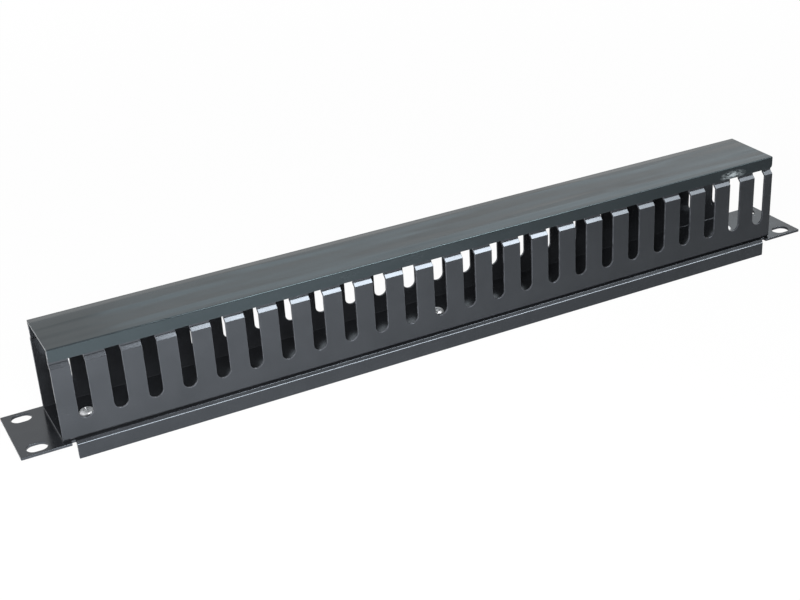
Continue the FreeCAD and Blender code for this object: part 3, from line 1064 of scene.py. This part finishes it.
class CABLE_OT_stage(bpy.types.Operator):
    """Make the floor, the room, the lamps and the camera"""
    bl_idname = "cable.stage"
    bl_label = "Studio Stage"

    def execute(self, context):
        settings = context.scene.cable_stage
        white = context.scene.cable_finishes.backdrop
        self.room(context, settings, white)
        self.floor(white)
        # Where each one stands, what it faces, its width and height, and its power.
        glosses = {
            "key_soft_box": ((0.43, -0.51, 1.0), (0.43, -0.1, 0.0), 0.6, 0.4, settings.key_power),
            "side_soft_box": ((0.92, -0.51, 1.0), (0.92, -0.1, 0.0), 0.38, 0.4, settings.side_power),
            "front_soft_box": ((0.7, -1.2, 0.12), (0.7, 0.0, 0.12), 1.6, 0.24, settings.front_power),
            "back_soft_box": ((0.6, 1.0, 0.79), (0.6, 0.0, 0.79), 1.1, 0.4, settings.back_power),
        }
        lamps = {name: soft_box(name, *values, gloss_only=True) for name, values in glosses.items()}
        lamps["back_soft_box"].data.color = linear("#e0f4ff")[:3]
        light_only(lamps["front_soft_box"], bpy.data.objects["rack_panel_sheet"])
        fill = soft_box(
            "fill_soft_box", (-0.26, -0.42, 0.25), (-0.24, 0.0, 0.02), 0.2, 0.2,
            settings.fill_power)
        fill.visible_glossy = False
        camera = bpy.data.cameras.new("camera")
        camera.lens = settings.lens
        camera.sensor_width = 36.0
        camera.clip_start = 0.01
        holder = bpy.data.objects.new("camera", camera)
        holder.location = settings.camera_place
        holder.rotation_euler = settings.camera_turn
        context.scene.collection.objects.link(holder)
        context.scene.camera = holder
        context.scene.view_settings.view_transform = "Standard"
        return {"FINISHED"}

    def room(self, context, settings, white):
        """A white room: full white where it is seen, and dimmer as a source of light."""
        world = bpy.data.worlds.new("studio_room")
        tree = bare_tree(world)
        strength = add_node(tree, "ShaderNodeMapRange", [
            seen_directly(tree), 0, 1, settings.ambient, 1.0])
        glow = add_node(tree, "ShaderNodeBackground", {"Color": white, "Strength": strength})
        add_node(tree, "ShaderNodeOutputWorld", {"Surface": glow})
        context.scene.world = world

    def floor(self, white):
        """A matt white floor at the flanges' edges. It keeps a faint shadow near the part."""
        low, _ = cad_box
        work = bmesh.new()
        bmesh.ops.create_circle(work, cap_ends=True, segments=96, radius=4.0)
        bmesh.ops.translate(work, verts=work.verts, vec=(0, 0, low[2]))
        mesh = mesh_from(work, "studio_floor")
        material, tree, place = new_material("matt_white_paper")
        paper = add_node(tree, "ShaderNodeBsdfDiffuse", {"Color": shade(white, 0.8)})
        glow = add_node(tree, "ShaderNodeEmission", {"Color": white, "Strength": 1.0})
        away = add_node(tree, "ShaderNodeVectorMath", [place], operation="LENGTH").outputs["Value"]
        camera = add_node(tree, "ShaderNodeLightPath").outputs["Is Camera Ray"]
        near = add_node(tree, "ShaderNodeMapRange", [camera, 0, 1, 0.28, 0.98])
        fade = add_node(tree, "ShaderNodeMapRange", [away, 0.3, 0.9, near, 1.0])
        pale = add_node(tree, "ShaderNodeMath", [seen_directly(tree), fade], operation="MULTIPLY")
        surface = add_node(tree, "ShaderNodeMixShader", [pale, paper, glow])
        below = add_node(tree, "ShaderNodeNewGeometry").outputs["Backfacing"]
        clear = add_node(tree, "ShaderNodeBsdfTransparent")
        seen = add_node(tree, "ShaderNodeMixShader", [below, surface, clear])
        add_node(tree, "ShaderNodeOutputMaterial", {"Surface": seen})
        new_object("studio_floor", mesh, material)


class CABLE_PT_sidebar(bpy.types.Panel):
    """Buttons for the pieces and their settings"""
    bl_label = "Cable Manager"
    bl_space_type = "VIEW_3D"
    bl_region_type = "UI"
    bl_category = "Cable Manager"

    def draw(self, context):
        for step in STEPS:
            self.layout.operator(step.bl_idname)
        for group in GROUPS:
            box = self.layout.box()
            settings = getattr(context.scene, group)
            for name in settings.__annotations__:
                box.prop(settings, name)


STEPS = (CABLE_OT_panel, CABLE_OT_duct, CABLE_OT_cover, CABLE_OT_fasteners, CABLE_OT_stage)
GROUPS = {"cable_sheets": SheetSizes, "cable_fasteners": FastenerSizes,
          "cable_finishes": Finishes, "cable_stage": StageSettings}
CLASSES = (*GROUPS.values(), *STEPS, CABLE_PT_sidebar)


def register():
    for made in CLASSES:
        bpy.utils.register_class(made)
    for name, group in GROUPS.items():
        setattr(bpy.types.Scene, name, bpy.props.PointerProperty(type=group))


def unregister():
    for name in GROUPS:
        delattr(bpy.types.Scene, name)
    for made in reversed(CLASSES):
        bpy.utils.unregister_class(made)


def main():
    """Makes every piece and the stage."""
    register()
    for step in STEPS:
        group, name = step.bl_idname.split(".")
        getattr(getattr(bpy.ops, group), name)()


if __name__ == "__main__":
    main()
